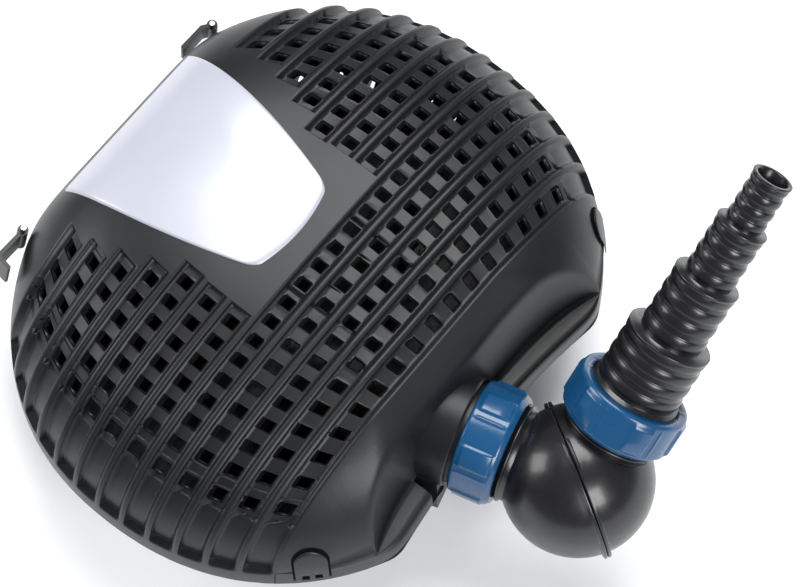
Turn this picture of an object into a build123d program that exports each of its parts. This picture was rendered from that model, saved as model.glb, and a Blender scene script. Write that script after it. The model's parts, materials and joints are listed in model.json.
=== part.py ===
"""Filter-fed pond and fountain pump: caged motor, ball-jointed outlet elbow and stepped hose tail."""
from build123d import *
from math import cos, radians, sin, tan
import os

os.makedirs("parts", exist_ok=True)

# Frame: the origin lies on the floor under the middle of the cage. +X is the outlet side,
# +Y runs along the ribs, +Z is up. Millimetres.

# ---------------------------------------------------------------- driving dimensions
# cage
part_line = 56.0            # height of the joint between the two shells
cage_rise = 72.0            # crown above that joint
half_width = 142.0
mid_x = 3.0                 # where the cage is widest
front_reach = 130.0         # half lengths of the outline's ellipse, before its ends are cut off
rear_reach = 122.0
front_corner_x = 119.0
front_middle_x = 113.0
rear_x = -111.0
plan_power = 2.2
crown_power = 2.4
corner_radius = 14.0
wall = 6.0                  # from a rib's top to the inside
channel_depth = 3.4
band_top = 69.0             # smooth band under the channels

# ribs and perforation
row_pitch = 14.0
row_count = 12
channel_width = 10.2
hole_size = 5.0
last_hole_inset = 24.0      # last hole of a row, in from the outline
full_rows = {8: 22, 9: 20, 10: 20, 11: 18, 12: 16}
half_rows = {1: 3, 2: 4, 3: 5, 4: 6, 5: 7, 6: 7, 7: 7}
half_row_pitch = 11.3
channel_end = 7.5           # past the hole nearest the badge

# badge
badge_rear_x = -101.0
badge_rear_half = 45.0
badge_front_half = 27.0
badge_nose_x = 5.5
badge_gap = 0.6
badge_proud = 1.0

# recess round the outlet
recess_x = 103.5
recess_draft = 10.0
recess_wall = 4.0

# tray under the cage
tray_floor = 8.0
tray_wall = 3.5
tray_taper = 0.84
lip_rise = 4.0
lip_wall = 2.0
shelf = 4.0
intake_low = 18.0
intake_high = 32.0
intake_width = 3.0
saddle_start = 57.0
saddle_end = 68.0
saddle_foot = 36.0
saddle_top = 70.0
saddle_width = 53.6
foot_height = 8.0
foot_radius = 9.0
foot_stud = 3.0
foot_x = 62.0
foot_y = 70.0
grommet_y = 40.0
grommet_height = 36.0
grommet_radius = 7.0
grommet_rear = -108.2
grommet_length = 9.0

# front latches: arched tongues with two windows each
latch_width = 15.0
latch_straight = 16.0
latch_gap = 0.8
latch_foot = 62.0
latch_x = 94.0
latch_y = 103.0
latch_out_x = 0.72          # outward direction of a latch's face
latch_out_y = 0.69
window_width = 3.4
window_height = 4.0
window_offset = 2.9

# cord clips on the rear corners: a barrel on a pin between two lugs
clip_foot = (-111.0, 69.0, 67.0)
clip_head = (-106.5, 66.5, 91.0)
stud_radius = 2.8
clip_pin_radius = 1.2
clip_barrel_radius = 2.6
clip_plate = 2.0
lug_height = 3.0
barrel_length = 18.0
open_bend = [(0, -17.0), (7.0, -18.0)]
shut_bend = [(-3, -4), (-3.4, -17)]

# outlet line
outlet_height = 74.0
outlet_turn = 14.8          # outlet direction, turned from +X towards +Y
ball_x = 162.2
ball_y = 1.8
elbow_turn = 8.4            # ball turned about the outlet
elbow_bend = 53.0           # outer half turned about the seam, from the full right angle
ball_radius = 35.0
ball_wall = 4.0
seam_radius = 35.6
seam_half = 2.4
nut_radius = 26.6
nut_land = 0.8              # grip lands stand this far out of the nut
nut_length = 20.5
nut_face = 32.5             # ball centre to the nearer face of either union nut
lip = 3.2                   # inward lip of a union nut
thread_radius = 23.9        # G 1 1/2 male thread
ball_neck_radius = 22.0
bore_radius = 17.5
collar_radius = 26.4
collar_end = 55.0           # ball centre back to the collar's face
socket_end = 96.0
pipe_end = 86.0
pipe_radius = 21.5
gasket = 1.0
clear = 0.3                 # gap between pieces that turn on each other

# hose tail: barb radius and end of each step, from the ball centre
tail_steps = [(20.0, 83.3), (15.5, 115.7), (12.0, 145.4), (9.3, 171.2)]
tail_bores = [16.5, 13.4, 9.9, 7.4]
barbs_per_step = 4
barb_height = 0.8
tail_flange = 3.5           # pulled against the elbow by the hose nut's lip
tail_neck_radius = 21.0
hose_thread_start = 33.0    # ball centre to the male thread under the hose nut
hose_thread_end = 45.0

# elbow
flange_end = 39.0           # ball centre to the face of a ball neck's flange
neck_root = 26.0
bore_start = 22.0
seal_depth = 1.1
seal_inner = 32.6
seal_outer = 34.2
spigot_inner = 28.4
spigot_reach = 4.0
grip_count = 6
grip_width = 24.0
grip_turn = 100.0

# pump inside the cage; stations run along the motor from the impeller's middle
pump_reach = 150.0          # ball centre back to the impeller's plane
axis_height = 48.0
volute_radius = 34.0
volute_half = 25.0
chamber_radius = 24.0
chamber_back = 8.0
impeller_radius = 21.0
shaft_radius = 3.0
running_fit = 0.06
can_bore = 15.0
can_radius = 17.0
can_end = 80.0
seat_radius = 27.0
chamber_front = 12.0
cover_face = 29.0
suction_radius = 12.0
boss_radius = 17.0
boss_length = 4.0
seal_middle = 18.0
seal_half = 1.0
seal_root = 25.2
strainer_radius = 20.0
strainer_end = 47.0
blade_count = 6
magnet_front = 20.0
magnet_end = 68.0
magnet_radius = 13.8
housing_wall = 2.2
gland_radius = 6.0
cord_radius = 3.6
socket_radius = 24.5
motor_radius = 33.0
motor_end = 96.0
screw_circle = 30.6
screw_radius = 1.5
screw_head = 2.8
screw_head_height = 2.2
screw_bite = 9.0
screw_turn = 45.0
screw_slot = (3.4, 0.9)
slot_depth = 1.2
hub_start = -9.0            # impeller hub and blades along the motor
hub_end = 6.5
hub_radius = 6.5
disc_start = 4.0
blade_root = 5.5
blade_reach = 15.3
blade_width = 2.0
shaft_start = -11.0
front_bush_span = (12.0, 17.0)
rear_bush_length = 6.0
core_start = 30.0
core_length = 40.0
coil_radius = 28.0
coil_length = 4.0
coil_starts = (26.0, 70.0)
coil_slot = (8.0, 7.0)
cooling_rib = (2.6, 3.0)
cooling_rib_count = 16
cooling_rib_start = 40.0
cooling_rib_length = 42.0
cap_plug = 6.0
cap_flange = 2.5
gland_head = 10.0
mount_stations = (32.0, 90.0)
mount_spread = 14.0
mount_pad = (11.0, 7.0)
mount_height = 16.0

# ---------------------------------------------------------------- directions and planes
up = Vector(0, 0, 1)
zero = Vector(0, 0, 0)
outlet_dir = Vector(cos(radians(outlet_turn)), sin(radians(outlet_turn)), 0)
motor_dir = up.cross(outlet_dir)
ball_centre = Vector(ball_x, ball_y, outlet_height)
level_seam = outlet_dir.rotate(Axis(zero, up), 45)
seam_dir = level_seam.rotate(Axis(zero, outlet_dir), elbow_turn)
square_dir = outlet_dir.rotate(Axis(zero, seam_dir), 180)
hose_dir = square_dir.rotate(Axis(zero, seam_dir), elbow_bend)
over_impeller = ball_centre - outlet_dir * pump_reach
impeller_centre = Vector(over_impeller.X, over_impeller.Y, axis_height)

# Section planes: local x runs along the axis, local y is the radius.
outlet_section = Plane(origin=ball_centre, x_dir=outlet_dir, z_dir=motor_dir * -1)
hose_section = Plane(origin=ball_centre, x_dir=hose_dir, z_dir=hose_dir.cross(seam_dir))
seam_section = Plane(origin=ball_centre, x_dir=seam_dir, z_dir=seam_dir.cross(up))
pump_section = Plane(origin=impeller_centre, x_dir=motor_dir, z_dir=outlet_dir)
outlet_axis = Axis(ball_centre, outlet_dir)
hose_axis = Axis(ball_centre, hose_dir)
seam_axis = Axis(ball_centre, seam_dir)
pump_axis = Axis(impeller_centre, motor_dir)


def across_outlet(station):
    """Plane across the outlet line, looking along the flow, a distance from the ball's centre."""
    return Plane(origin=ball_centre + outlet_dir * station, x_dir=motor_dir, z_dir=outlet_dir)


def across_hose(station):
    """Plane across the hose tail, a distance from the ball's centre."""
    return Plane(origin=ball_centre + hose_dir * station, x_dir=seam_dir.cross(hose_dir), z_dir=hose_dir)


def across_pump(station):
    """Plane across the motor's axis, a distance from the impeller's middle."""
    return Plane(origin=impeller_centre + motor_dir * station, x_dir=outlet_dir, z_dir=motor_dir)


def ring_profile(start, end, inner, outer):
    """Sketch a rectangle between two stations and two radii, on the current section plane."""
    low, high = min(start, end), max(start, end)
    Polygon((low, inner), (high, inner), (high, outer), (low, outer), align=None)


# ---------------------------------------------------------------- cage shapes
def plan_half_width(x, grow):
    """Half width of the cage's outline at x, from its superellipse."""
    reach = (front_reach if x > mid_x else rear_reach) + grow
    share = min(abs(x - mid_x) / reach, 1.0)
    return (half_width + grow) * (1 - share ** plan_power) ** (1 / plan_power)


def cage_outline(height, length_scale, width_scale, grow):
    """Plan outline of the cage at a height: cut rear, curved sides, slightly hollow front."""
    front = front_corner_x + grow
    rear = rear_x - grow
    stations = [rear + (front - rear) * share for share in (0, 0.1, 0.25, 0.45, 0.65, 0.82, 0.92, 1)]

    def place(x, y):
        return (mid_x + (x - mid_x) * length_scale, y * width_scale)

    left = [place(x, plan_half_width(x, grow)) for x in stations]
    right = [(x, -y) for x, y in reversed(left)]
    with BuildSketch(Plane.XY.offset(height)) as outline:
        with BuildLine():
            Line(right[-1], left[0])
            Spline(*left)
            ThreePointArc(left[-1], place(front_middle_x + grow, 0), right[0])
            Spline(*right)
        make_face()
        fillet(outline.vertices(), corner_radius * width_scale + 2)
    return outline.sketch


def cage_dome(grow):
    """Solid under the cage's crowned surface, grown outwards by a distance."""
    with BuildPart() as dome:
        for share in (0, 0.18, 0.4, 0.6, 0.76, 0.88, 0.955, 0.99):
            fall = 1 - share ** crown_power
            height = part_line + share * (cage_rise + grow)
            add(cage_outline(height, fall ** 0.25, fall ** (1 / crown_power), grow))
        loft()
    return dome.part


def recess_outline(height, back):
    """Plan of the front recess at a height, its hollow edge moved back by a distance."""
    half = [(118, 88), (110, 74), (105, 52), (recess_x, 0)]
    edge = half + [(x, -y) for x, y in reversed(half[:-1])]
    edge = [(x - back, y) for x, y in edge]
    with BuildSketch(Plane.XY.offset(height)) as outline:
        with BuildLine():
            Spline(*edge)
            Polyline(edge[-1], (150, -88), (150, 88), edge[0])
        make_face()
    return outline.sketch


def outlet_recess(grow):
    """Block that hollows the front of the cage above its band, grown backwards and down."""
    with BuildPart() as block:
        add(recess_outline(band_top - grow, grow))
        add(recess_outline(band_top + 70, grow + 70 * tan(radians(recess_draft))))
        loft()
    return block.part


def row_x(row):
    """Middle of a channel, counted from the rear."""
    return row_pitch * (row - (row_count + 1) / 2)


def last_hole(row):
    """Distance of a row's last hole from the middle of the cage."""
    return plan_half_width(row_x(row), 0) - last_hole_inset


def hole_offsets(row):
    """Distances of a row's holes from the middle of the cage, on both sides."""
    if row in full_rows:
        count = full_rows[row]
        step = 2 * last_hole(row) / (count - 1)
        return [last_hole(row) - step * index for index in range(count)]
    one_side = [last_hole(row) - half_row_pitch * index for index in range(half_rows[row])]
    return one_side + [-y for y in one_side]


def channel_start(row):
    """Distance from the middle of the cage where a row's channel begins beside the badge."""
    return last_hole(row) - half_row_pitch * (half_rows[row] - 1) - channel_end


def badge_plan(grow):
    """Badge seen from above: a shield, wide at the rear, with bowed sides and nose."""
    rear = badge_rear_half + grow
    front = badge_front_half + grow
    with BuildSketch(Plane.XY.offset(band_top)) as plan:
        with BuildLine():
            Line((badge_rear_x - 3 * grow, -rear), (badge_rear_x - 3 * grow, rear))
            ThreePointArc((badge_rear_x - 3 * grow, rear), (-46, 39.5 + grow), (0, front))
            ThreePointArc((0, front), (badge_nose_x + grow, 0), (0, -front))
            ThreePointArc((0, -front), (-46, -39.5 - grow), (badge_rear_x - 3 * grow, -rear))
        make_face()
        fillet(plan.vertices().sort_by(Axis.X)[-2:], 4)
    return plan.sketch


outer_dome = cage_dome(0)
floor_dome = cage_dome(-channel_depth)
inner_dome = cage_dome(-wall)
badge_top = cage_dome(badge_proud)
badge_seat = cage_dome(-badge_proud)
latch_back = cage_dome(-3)

with BuildPart() as channels:
    with BuildSketch(Plane.XY.offset(band_top)):
        for row in range(1, row_count + 1):
            if row in full_rows:
                with Locations((row_x(row), 0)):
                    Rectangle(channel_width, 2 * half_width + 20)
            else:
                length = half_width + 10 - channel_start(row)
                middle = channel_start(row) + length / 2
                with Locations((row_x(row), middle), (row_x(row), -middle)):
                    Rectangle(channel_width, length)
    extrude(amount=70)
    add(floor_dome, mode=Mode.SUBTRACT)

with BuildPart() as perforation:
    with BuildSketch(Plane.XY.offset(82)):
        for row in range(1, row_count + 1):
            with Locations(*[(row_x(row), y) for y in hole_offsets(row)]):
                Rectangle(hole_size, hole_size)
    extrude(amount=60)

with BuildPart() as cavity:
    add(inner_dome)
    add(outlet_recess(recess_wall), mode=Mode.SUBTRACT)

with BuildPart() as badge_pocket:
    add(badge_plan(badge_gap))
    extrude(amount=70)
    add(badge_seat, mode=Mode.SUBTRACT)

# Slot that clears the collar and the nut, open downwards so that the cage lifts off.
with BuildPart() as outlet_slot:
    with BuildSketch(across_outlet(-socket_end)):
        Circle(collar_radius + 1)
        Rectangle(2 * collar_radius + 2, 60, align=(Align.CENTER, Align.MAX))
    extrude(amount=socket_end - collar_end)
    with BuildSketch(across_outlet(-collar_end - 1)):
        Circle(nut_radius + 2.5)
        Rectangle(2 * nut_radius + 5, 60, align=(Align.CENTER, Align.MAX))
    extrude(amount=20)

# ---------------------------------------------------------------- front latches


def latch_prism(side, grow):
    """Arched prism through the cage wall at one front corner."""
    outward = Vector(latch_out_x, latch_out_y * side, 0)
    face = Plane(origin=(latch_x, latch_y * side, latch_foot), x_dir=up.cross(outward), z_dir=outward)
    with BuildPart() as prism:
        with BuildSketch(face):
            half = latch_width / 2 + grow
            with BuildLine():
                Polyline((-half, latch_straight), (-half, 0), (half, 0), (half, latch_straight))
                ThreePointArc((half, latch_straight), (0, latch_straight + half), (-half, latch_straight))
            make_face()
        extrude(amount=14, both=True)
    return prism.part


def latch_windows(side):
    """Pair of small windows near the foot of a latch."""
    outward = Vector(latch_out_x, latch_out_y * side, 0)
    face = Plane(origin=(latch_x, latch_y * side, latch_foot), x_dir=up.cross(outward), z_dir=outward)
    with BuildPart() as windows:
        with BuildSketch(face):
            with Locations((-window_offset, window_height), (window_offset, window_height)):
                Rectangle(window_width, window_height)
        extrude(amount=14, both=True)
    return windows.part


with BuildPart() as front_latch_left:
    add(latch_prism(1, 0))
    add(outer_dome, mode=Mode.INTERSECT)
    add(latch_back, mode=Mode.SUBTRACT)
    add(latch_windows(1), mode=Mode.SUBTRACT)
front_latch_left.part.label = "front_latch_left"
export_step(front_latch_left.part, "parts/front_latch_left.step")

with BuildPart() as front_latch_right:
    add(latch_prism(-1, 0))
    add(outer_dome, mode=Mode.INTERSECT)
    add(latch_back, mode=Mode.SUBTRACT)
    add(latch_windows(-1), mode=Mode.SUBTRACT)
front_latch_right.part.label = "front_latch_right"
export_step(front_latch_right.part, "parts/front_latch_right.step")

# ---------------------------------------------------------------- upper shell


barrel_start = lug_height + clear
head_lug = barrel_start + barrel_length + clear


def clip_plane(side):
    """Plane across a cord clip's pin at its foot; the pin leans in with the cage's rear corner."""
    foot = Vector(clip_foot[0], clip_foot[1] * side, clip_foot[2])
    head = Vector(clip_head[0], clip_head[1] * side, clip_head[2])
    lean = (head - foot).normalized()
    return Plane(origin=foot, x_dir=Vector(0, 1, 0).cross(lean), z_dir=lean)


def pin_lug(side, start):
    """Round lug on a clip's axis with a web back to the cage wall."""
    with BuildPart() as lug:
        with BuildSketch(clip_plane(side).offset(start)):
            Circle(stud_radius)
            with Locations((4, 0)):
                Rectangle(8, 3.6)
            Circle(clip_pin_radius, mode=Mode.SUBTRACT)
        extrude(amount=lug_height)
    return lug.part


with BuildPart() as upper_shell:
    add(outer_dome)
    for side in (-1, 1):
        add(pin_lug(side, 0))
        add(pin_lug(side, head_lug))
    add(outlet_recess(0), mode=Mode.SUBTRACT)
    add(channels.part, mode=Mode.SUBTRACT)
    add(cavity.part, mode=Mode.SUBTRACT)
    add(perforation.part, mode=Mode.SUBTRACT)
    add(badge_pocket.part, mode=Mode.SUBTRACT)
    add(outlet_slot.part, mode=Mode.SUBTRACT)
    add(latch_prism(1, latch_gap), mode=Mode.SUBTRACT)
    add(latch_prism(-1, latch_gap), mode=Mode.SUBTRACT)
upper_shell.part.label = "upper_shell"
export_step(upper_shell.part, "parts/upper_shell.step")

with BuildPart() as badge_plate:
    add(badge_plan(0))
    extrude(amount=70)
    add(badge_top, mode=Mode.INTERSECT)
    add(badge_seat, mode=Mode.SUBTRACT)
badge_plate.part.label = "badge_plate"
export_step(badge_plate.part, "parts/badge_plate.step")

# ---------------------------------------------------------------- cord clips
def swing_clip(side, bend):
    """Barrel on a clip's pin with a bent plate that hooks a cord, seen along the pin."""
    with BuildPart() as clip:
        with BuildSketch(clip_plane(side).offset(barrel_start)):
            for start, end in zip([(0, 0)] + bend[:-1], bend):
                with BuildLine():
                    Line(start, end)
                trace(line_width=clip_plate)
            with Locations(*bend):
                Circle(clip_plate / 2)
            Circle(clip_barrel_radius)
            Circle(clip_pin_radius + running_fit, mode=Mode.SUBTRACT)
        extrude(amount=barrel_length)
    return clip.part


with BuildPart() as cord_clip_right:
    add(swing_clip(-1, open_bend))
cord_clip_right.part.label = "cord_clip_right"
export_step(cord_clip_right.part, "parts/cord_clip_right.step")

with BuildPart() as cord_clip_left:
    add(swing_clip(1, shut_bend))
cord_clip_left.part.label = "cord_clip_left"
export_step(cord_clip_left.part, "parts/cord_clip_left.step")

with BuildPart() as clip_pins:
    for side in (-1, 1):
        with BuildSketch(clip_plane(side)):
            Circle(clip_pin_radius)
        extrude(amount=head_lug + lug_height)
clip_pins.part.label = "clip_pins"
export_step(clip_pins.part, "parts/clip_pins.step")

# ---------------------------------------------------------------- tray and feet
with BuildPart() as tray_hollow:
    add(cage_outline(tray_floor + tray_wall, tray_taper, tray_taper, -tray_wall))
    add(cage_outline(part_line + 1, 1, 1, -tray_wall))
    loft()

with BuildPart() as tray_lip:
    add(cage_outline(part_line - shelf, 1, 1, -tray_wall - 0.5))
    extrude(amount=shelf)
    add(cage_outline(part_line, 1, 1, -wall - clear))
    extrude(amount=lip_rise)
    add(cage_outline(part_line - shelf, 1, 1, -wall - clear - lip_wall))
    extrude(amount=shelf + lip_rise, mode=Mode.SUBTRACT)

with BuildPart() as lower_shell:
    add(cage_outline(tray_floor, tray_taper, tray_taper, 0))
    add(cage_outline(part_line, 1, 1, 0))
    loft()
    add(tray_hollow.part, mode=Mode.SUBTRACT)
    add(tray_lip.part)
    with BuildSketch(across_outlet(-saddle_end)):
        with Locations((0, saddle_foot - outlet_height)):
            Rectangle(saddle_width, saddle_top - saddle_foot, align=(Align.CENTER, Align.MIN))
    extrude(amount=saddle_end - saddle_start)
    with BuildSketch(across_outlet(-socket_end)):
        Circle(collar_radius)
    extrude(amount=socket_end, mode=Mode.SUBTRACT)
    with BuildSketch(across_outlet(-collar_end - 1)):
        Circle(nut_radius + 2.5)
    extrude(amount=40, mode=Mode.SUBTRACT)
    with BuildSketch(Plane.XZ):
        with Locations((0, (intake_low + intake_high) / 2)):
            with GridLocations(row_pitch, 1, row_count, 1):
                SlotOverall(intake_high - intake_low, intake_width, rotation=90)
    extrude(amount=half_width + 20, both=True, mode=Mode.SUBTRACT)
    with BuildSketch(Plane.YZ.offset(rear_x - 20)):
        with Locations((grommet_y, grommet_height)):
            Circle(grommet_radius)
    extrude(amount=40, mode=Mode.SUBTRACT)
    with BuildSketch(Plane.XY.offset(tray_floor)):
        with GridLocations(2 * foot_x, 2 * foot_y, 2, 2):
            Circle(foot_stud)
    extrude(amount=tray_wall, mode=Mode.SUBTRACT)
lower_shell.part.label = "lower_shell"
export_step(lower_shell.part, "parts/lower_shell.step")

with BuildPart() as rubber_feet:
    with BuildSketch(Plane.XY):
        with GridLocations(2 * foot_x, 2 * foot_y, 2, 2):
            Circle(foot_radius)
        Circle(foot_radius)
    extrude(amount=foot_height)
    chamfer(rubber_feet.edges().group_by(Axis.Z)[0], 1)
    with BuildSketch(Plane.XY.offset(foot_height)):
        with GridLocations(2 * foot_x, 2 * foot_y, 2, 2):
            Circle(foot_stud)
    extrude(amount=tray_wall)
    with BuildSketch(Plane.XY.offset(foot_height + tray_wall)):
        with GridLocations(2 * foot_x, 2 * foot_y, 2, 2):
            Circle(foot_stud + 1.5)
    extrude(amount=1.5)
rubber_feet.part.label = "rubber_feet"
export_step(rubber_feet.part, "parts/rubber_feet.step")

with BuildPart() as cord_grommet:
    with BuildSketch(Plane.YZ.offset(grommet_rear)):
        with Locations((grommet_y, grommet_height)):
            Circle(grommet_radius)
    extrude(amount=grommet_length)
    with BuildSketch(Plane.YZ.offset(grommet_rear - 2)):
        with Locations((grommet_y, grommet_height)):
            Circle(grommet_radius + 3)
    extrude(amount=2)
    with BuildSketch(Plane.YZ.offset(grommet_rear - 2)):
        with Locations((grommet_y, grommet_height)):
            Circle(cord_radius)
    extrude(amount=grommet_length + 2, mode=Mode.SUBTRACT)
cord_grommet.part.label = "cord_grommet"
export_step(cord_grommet.part, "parts/cord_grommet.step")

# ---------------------------------------------------------------- pump block
with BuildPart() as volute_housing:
    with BuildSketch(across_pump(-volute_half)):
        Circle(volute_radius)
    extrude(amount=2 * volute_half)
    with BuildSketch(across_outlet(-pump_reach + 10)):
        Circle(socket_radius)
    extrude(amount=pump_reach - 10 - pipe_end)
    with BuildSketch(across_pump(-chamber_front)):
        Circle(chamber_radius)
    extrude(amount=chamber_front + chamber_back, mode=Mode.SUBTRACT)
    with BuildSketch(across_pump(-volute_half)):
        Circle(seat_radius)
    extrude(amount=volute_half - chamber_front, mode=Mode.SUBTRACT)
    with BuildSketch(across_pump(chamber_back)):
        Circle(seat_radius)
    extrude(amount=volute_half - chamber_back, mode=Mode.SUBTRACT)
    with BuildSketch(across_outlet(-pump_reach)):
        with Locations((-(chamber_front - chamber_back) / 2, axis_height + chamber_radius - outlet_height)):
            Rectangle(chamber_front + chamber_back, 18, align=(Align.CENTER, Align.MAX))
    extrude(amount=34, mode=Mode.SUBTRACT)
    with BuildSketch(across_outlet(-pump_reach + 30)):
        Circle(bore_radius)
    extrude(amount=pump_reach - 30 - pipe_end, mode=Mode.SUBTRACT)
    with BuildSketch(across_outlet(-socket_end)):
        Circle(pipe_radius)
    extrude(amount=socket_end - pipe_end, mode=Mode.SUBTRACT)
    with BuildSketch(across_pump(-volute_half)):
        with PolarLocations(screw_circle, 4, start_angle=screw_turn):
            Circle(screw_radius)
    extrude(amount=screw_bite, mode=Mode.SUBTRACT)
volute_housing.part.label = "volute_housing"
export_step(volute_housing.part, "parts/volute_housing.step")

with BuildPart() as chamber_cover:
    with BuildSketch(pump_section):
        ring_profile(-cover_face, -volute_half, suction_radius, volute_radius)
        ring_profile(-volute_half, -chamber_front, suction_radius, seat_radius)
        ring_profile(-cover_face - boss_length, -cover_face, suction_radius, boss_radius)
    revolve(axis=pump_axis)
    with BuildSketch(pump_section):
        ring_profile(-seal_middle - seal_half, -seal_middle + seal_half, seal_root, seat_radius + 1)
    revolve(axis=pump_axis, mode=Mode.SUBTRACT)
    with BuildSketch(across_pump(-cover_face)):
        with PolarLocations(screw_circle, 4, start_angle=screw_turn):
            Circle(screw_radius)
    extrude(amount=cover_face - volute_half, mode=Mode.SUBTRACT)
chamber_cover.part.label = "chamber_cover"
export_step(chamber_cover.part, "parts/chamber_cover.step")

with BuildPart() as chamber_o_ring:
    with BuildSketch(pump_section):
        ring_profile(-seal_middle - seal_half, -seal_middle + seal_half, seal_root, seat_radius)
    revolve(axis=pump_axis)
chamber_o_ring.part.label = "chamber_o_ring"
export_step(chamber_o_ring.part, "parts/chamber_o_ring.step")

with BuildPart() as chamber_screws:
    with BuildSketch(across_pump(-cover_face)):
        with PolarLocations(screw_circle, 4, start_angle=screw_turn):
            Circle(screw_radius)
    extrude(amount=cover_face - volute_half + screw_bite)
    with BuildSketch(across_pump(-cover_face - screw_head_height)):
        with PolarLocations(screw_circle, 4, start_angle=screw_turn):
            Circle(screw_head)
    extrude(amount=screw_head_height)
    with BuildSketch(across_pump(-cover_face - screw_head_height)):
        with PolarLocations(screw_circle, 4, start_angle=screw_turn):
            Rectangle(*screw_slot)
            Rectangle(*screw_slot, rotation=90)
    extrude(amount=slot_depth, mode=Mode.SUBTRACT)
chamber_screws.part.label = "chamber_screws"
export_step(chamber_screws.part, "parts/chamber_screws.step")

with BuildPart() as suction_strainer:
    with BuildSketch(pump_section):
        ring_profile(-strainer_end, -cover_face, boss_radius, strainer_radius)
        ring_profile(-strainer_end, -strainer_end + 2, 0, strainer_radius)
    revolve(axis=pump_axis)
    with BuildSketch(across_pump(-strainer_end)):
        with PolarLocations(9.5, 10):
            SlotOverall(9, 3)
    extrude(amount=2, mode=Mode.SUBTRACT)
    with BuildSketch(across_pump(-strainer_end + 4)):
        with PolarLocations(strainer_radius - 1, 12):
            Rectangle(8, 3)
    extrude(amount=strainer_end - cover_face - boss_length - 5, mode=Mode.SUBTRACT)
suction_strainer.part.label = "suction_strainer"
export_step(suction_strainer.part, "parts/suction_strainer.step")

with BuildPart() as impeller:
    with BuildSketch(pump_section):
        ring_profile(hub_start, hub_end, shaft_radius, hub_radius)
        ring_profile(disc_start, hub_end, shaft_radius, impeller_radius)
    revolve(axis=pump_axis)
    with BuildSketch(across_pump(hub_start)):
        with PolarLocations(blade_root, blade_count):
            Rectangle(blade_reach, blade_width, align=(Align.MIN, Align.CENTER))
    extrude(amount=disc_start - hub_start + 0.5)
impeller.part.label = "impeller"
export_step(impeller.part, "parts/impeller.step")

with BuildPart() as motor_shaft:
    with BuildSketch(across_pump(shaft_start)):
        Circle(shaft_radius)
    extrude(amount=can_end - 3 - shaft_start)
    chamfer(motor_shaft.edges(), 0.4)
motor_shaft.part.label = "motor_shaft"
export_step(motor_shaft.part, "parts/motor_shaft.step")

with BuildPart() as rotor_magnet:
    with BuildSketch(pump_section):
        ring_profile(magnet_front, magnet_end, shaft_radius, magnet_radius)
    revolve(axis=pump_axis)
rotor_magnet.part.label = "rotor_magnet"
export_step(rotor_magnet.part, "parts/rotor_magnet.step")

with BuildPart() as front_bush:
    with BuildSketch(pump_section):
        ring_profile(*front_bush_span, shaft_radius + running_fit, can_bore)
    revolve(axis=pump_axis)
front_bush.part.label = "front_bush"
export_step(front_bush.part, "parts/front_bush.step")

with BuildPart() as rear_bush:
    with BuildSketch(pump_section):
        ring_profile(can_end - 2 - rear_bush_length, can_end - 2, shaft_radius + running_fit, can_bore)
    revolve(axis=pump_axis)
rear_bush.part.label = "rear_bush"
export_step(rear_bush.part, "parts/rear_bush.step")

with BuildPart() as rotor_can:
    with BuildSketch(pump_section):
        ring_profile(chamber_back, volute_half, can_bore, seat_radius)
        ring_profile(volute_half, can_end, can_bore, can_radius)
        ring_profile(can_end - 2, can_end, 0, can_radius)
    revolve(axis=pump_axis)
rotor_can.part.label = "rotor_can"
export_step(rotor_can.part, "parts/rotor_can.step")

with BuildPart() as stator_core:
    with BuildSketch(across_pump(core_start)):
        Circle(motor_radius - housing_wall)
        Circle(can_radius, mode=Mode.SUBTRACT)
        with PolarLocations((can_radius + coil_radius) / 2, 6):
            Rectangle(*coil_slot, mode=Mode.SUBTRACT)
    extrude(amount=core_length)
stator_core.part.label = "stator_core"
export_step(stator_core.part, "parts/stator_core.step")

with BuildPart() as stator_coils:
    for start in coil_starts:
        with BuildSketch(pump_section):
            ring_profile(start, start + coil_length, can_radius + 1, coil_radius)
        revolve(axis=pump_axis)
stator_coils.part.label = "stator_coils"
export_step(stator_coils.part, "parts/stator_coils.step")

with BuildPart() as motor_housing:
    with BuildSketch(pump_section):
        ring_profile(volute_half, motor_end, motor_radius - housing_wall, motor_radius)
    revolve(axis=pump_axis)
    with BuildSketch(across_pump(cooling_rib_start)):
        with PolarLocations(motor_radius + 0.8, cooling_rib_count):
            Rectangle(*cooling_rib)
    extrude(amount=cooling_rib_length)
motor_housing.part.label = "motor_housing"
export_step(motor_housing.part, "parts/motor_housing.step")

with BuildPart() as motor_end_cap:
    with BuildSketch(pump_section):
        ring_profile(motor_end - cap_plug, motor_end, gland_radius, motor_radius - housing_wall)
        ring_profile(motor_end, motor_end + cap_flange, gland_radius, motor_radius)
    revolve(axis=pump_axis)
motor_end_cap.part.label = "motor_end_cap"
export_step(motor_end_cap.part, "parts/motor_end_cap.step")

with BuildPart() as cable_gland:
    with BuildSketch(pump_section):
        ring_profile(motor_end - cap_plug, motor_end + cap_flange, cord_radius, gland_radius)
        ring_profile(motor_end + cap_flange, motor_end + gland_head, cord_radius, gland_radius + 2)
    revolve(axis=pump_axis)
cable_gland.part.label = "cable_gland"
export_step(cable_gland.part, "parts/cable_gland.step")

with BuildPart() as rubber_mounts:
    for station in mount_stations:
        foot = impeller_centre + motor_dir * station
        floor_plane = Plane(origin=(foot.X, foot.Y, tray_floor + tray_wall), x_dir=outlet_dir, z_dir=up)
        with BuildSketch(floor_plane):
            with Locations((-mount_spread, 0), (mount_spread, 0)):
                Rectangle(*mount_pad)
        extrude(amount=mount_height)
    with BuildSketch(across_pump(0)):
        Circle(motor_radius)
    extrude(amount=motor_end + 4, mode=Mode.SUBTRACT)
rubber_mounts.part.label = "rubber_mounts"
export_step(rubber_mounts.part, "parts/rubber_mounts.step")

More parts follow.
